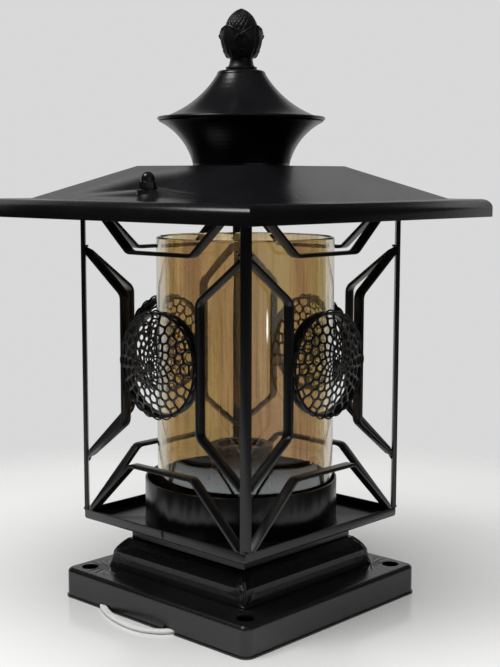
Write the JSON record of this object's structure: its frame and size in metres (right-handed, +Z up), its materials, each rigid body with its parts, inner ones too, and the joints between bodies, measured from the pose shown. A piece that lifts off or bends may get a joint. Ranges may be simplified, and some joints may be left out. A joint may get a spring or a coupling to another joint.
{
  "type": "gate pillar light",
  "caption": "Square iron lantern with a glass cylinder, pierced medallions, a lift-off pyramid roof with a spun chimney and finial, and a pressed base for a gate pillar.",
  "frame": {"origin": "middle of the base, on the surface it stands on", "axes": "+Z up along the lantern's middle; its four faces look along -Y (front), +X, +Y and -X"},
  "size_m": [0.2068, 0.2068, 0.3428],
  "materials": {
    "cage_black": "satin",
    "base_black": "semi-gloss",
    "roof_black": "satin",
    "cast_black": "satin paint",
    "black_nut": "gloss",
    "bakelite": "gloss",
    "zinc": "zinc plated",
    "brass": "plain",
    "ceramic": "glazed",
    "white_plastic": "matte",
    "cord_white": "matte",
    "amber_glass": "lustre"
  },
  "bodies": {
    "lantern": {"base_shell": "base_black", "neck_box": "cage_black", "tray": "cage_black", "glass_cup": "cage_black", "post_front_right": "cage_black", "post_back_right": "cage_black", "post_back_left": "cage_black", "post_front_left": "cage_black", "top_brace_front": "cage_black", "top_brace_right": "cage_black", "top_brace_back": "cage_black", "top_brace_left": "cage_black", "bottom_brace_front": "cage_black", "bottom_brace_right": "cage_black", "bottom_brace_back": "cage_black", "bottom_brace_left": "cage_black", "side_brace_front_a": "cage_black", "side_brace_right_a": "cage_black", "side_brace_back_a": "cage_black", "side_brace_left_a": "cage_black", "side_brace_front_b": "cage_black", "side_brace_right_b": "cage_black", "side_brace_back_b": "cage_black", "side_brace_left_b": "cage_black", "hoop_front": "cage_black", "hoop_right": "cage_black", "hoop_back": "cage_black", "hoop_left": "cage_black", "medallion_front": "cage_black", "medallion_right": "cage_black", "medallion_back": "cage_black", "medallion_left": "cage_black", "top_plate": "cage_black", "roof_studs": "zinc", "holder_cap": "bakelite", "holder_body": "bakelite", "screw_shell": "zinc", "contact_block": "ceramic", "centre_contact": "brass", "tube": "brass", "tube_washer": "zinc", "tube_nut": "brass", "tube_bush": "white_plastic", "cord": "cord_white"},
    "roof_group": {"roof": "roof_black", "chimney_flare": "roof_black", "chimney_lid": "roof_black", "finial_rod": "zinc", "rod_washer": "zinc", "rod_nut": "zinc"},
    "finial_body": {"finial": "cast_black"},
    "nut_front": {"dome_nut_front": "black_nut"},
    "nut_back": {"dome_nut_back": "black_nut"},
    "glass_body": {"glass": "amber_glass"},
    "ring_body": {"holder_ring": "bakelite"}
  },
  "joints": [
    {"name": "roof_lift", "type": "slide", "parent": "lantern", "child": "roof_group", "axis": [0, 0, 1], "range_m": [0, 0.06]},
    {"name": "finial_turn", "type": "hinge", "parent": "roof_group", "child": "finial_body", "pos_m": [0, 0, 0.3084], "axis": [0, 0, 1], "continuous": true},
    {"name": "nut_front_turn", "type": "hinge", "parent": "roof_group", "child": "nut_front", "pos_m": [0, -0.0725, 0.2416], "axis": [0, 0, 1], "continuous": true},
    {"name": "nut_back_turn", "type": "hinge", "parent": "roof_group", "child": "nut_back", "pos_m": [0, 0.0725, 0.2416], "axis": [0, 0, 1], "continuous": true},
    {"name": "glass_lift", "type": "slide", "parent": "lantern", "child": "glass_body", "axis": [0, 0, 1], "range_m": [0, 0.03]},
    {"name": "ring_turn", "type": "hinge", "parent": "lantern", "child": "ring_body", "pos_m": [0, 0, 0.0902], "axis": [0, 0, 1], "continuous": true}
  ]
}
